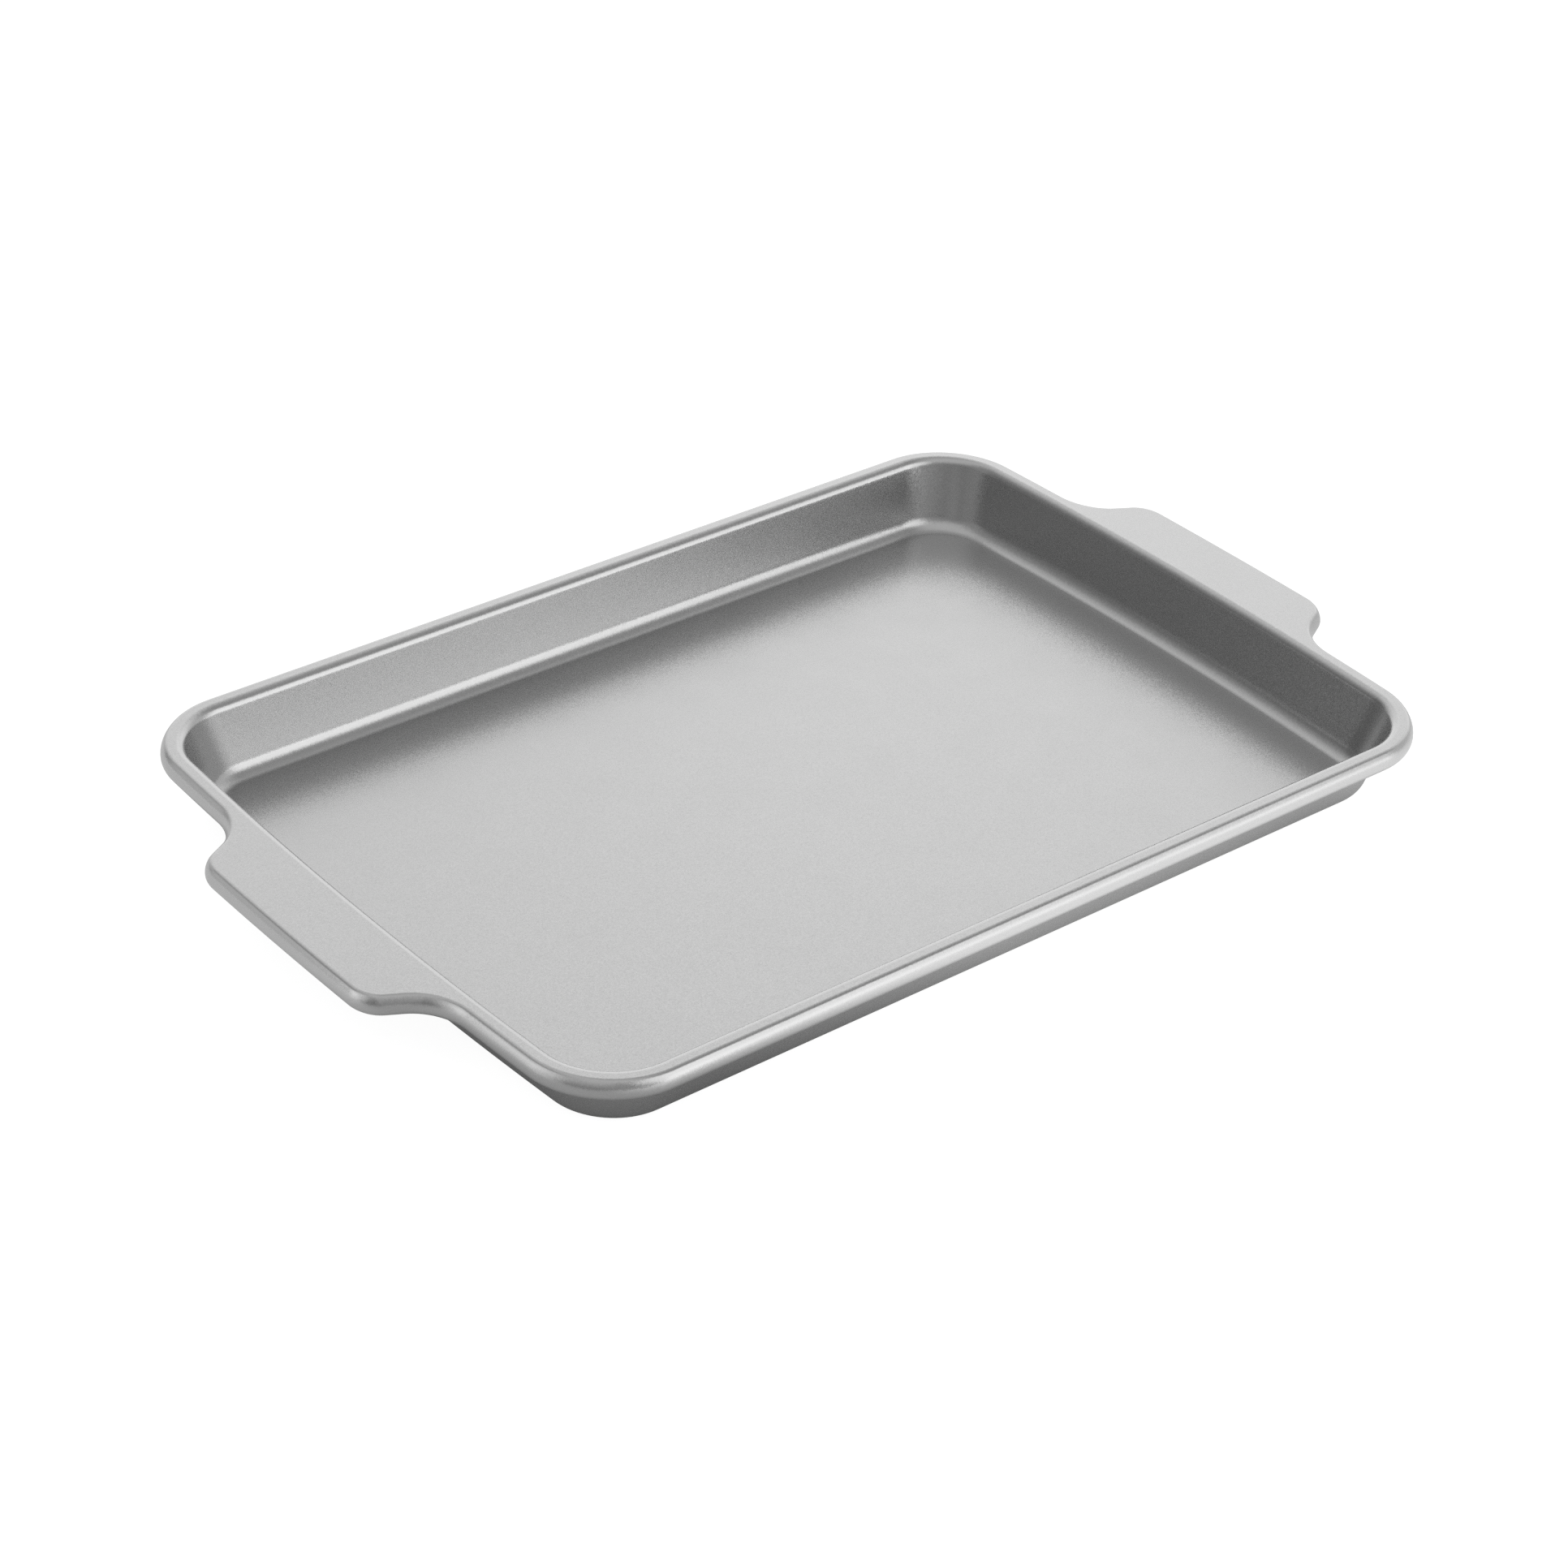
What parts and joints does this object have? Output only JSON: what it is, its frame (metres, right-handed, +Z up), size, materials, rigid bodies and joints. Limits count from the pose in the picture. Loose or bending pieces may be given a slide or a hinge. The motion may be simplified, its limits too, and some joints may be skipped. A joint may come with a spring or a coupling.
{
  "type": "baking sheet",
  "caption": "Shallow rimmed baking sheet with flat end handles, rounded corners and an edge rolled over a wire, in satin grey non-stick coated steel.",
  "frame": {"origin": "middle of the underside of the floor", "axes": "+X along the long sides and through the handles, +Y across, +Z up out of the tray"},
  "size_m": [0.398, 0.2498, 0.0254],
  "materials": {
    "satin_coat": "satin silver-grey metallic non-stick coat with a fine flake, on steel sheet",
    "bright_wire": "plain drawn steel wire, hidden in the rolled edge"
  },
  "bodies": {
    "root": {"pan_sheet": "satin_coat", "rim_wire": "bright_wire"}
  },
  "joints": []
}
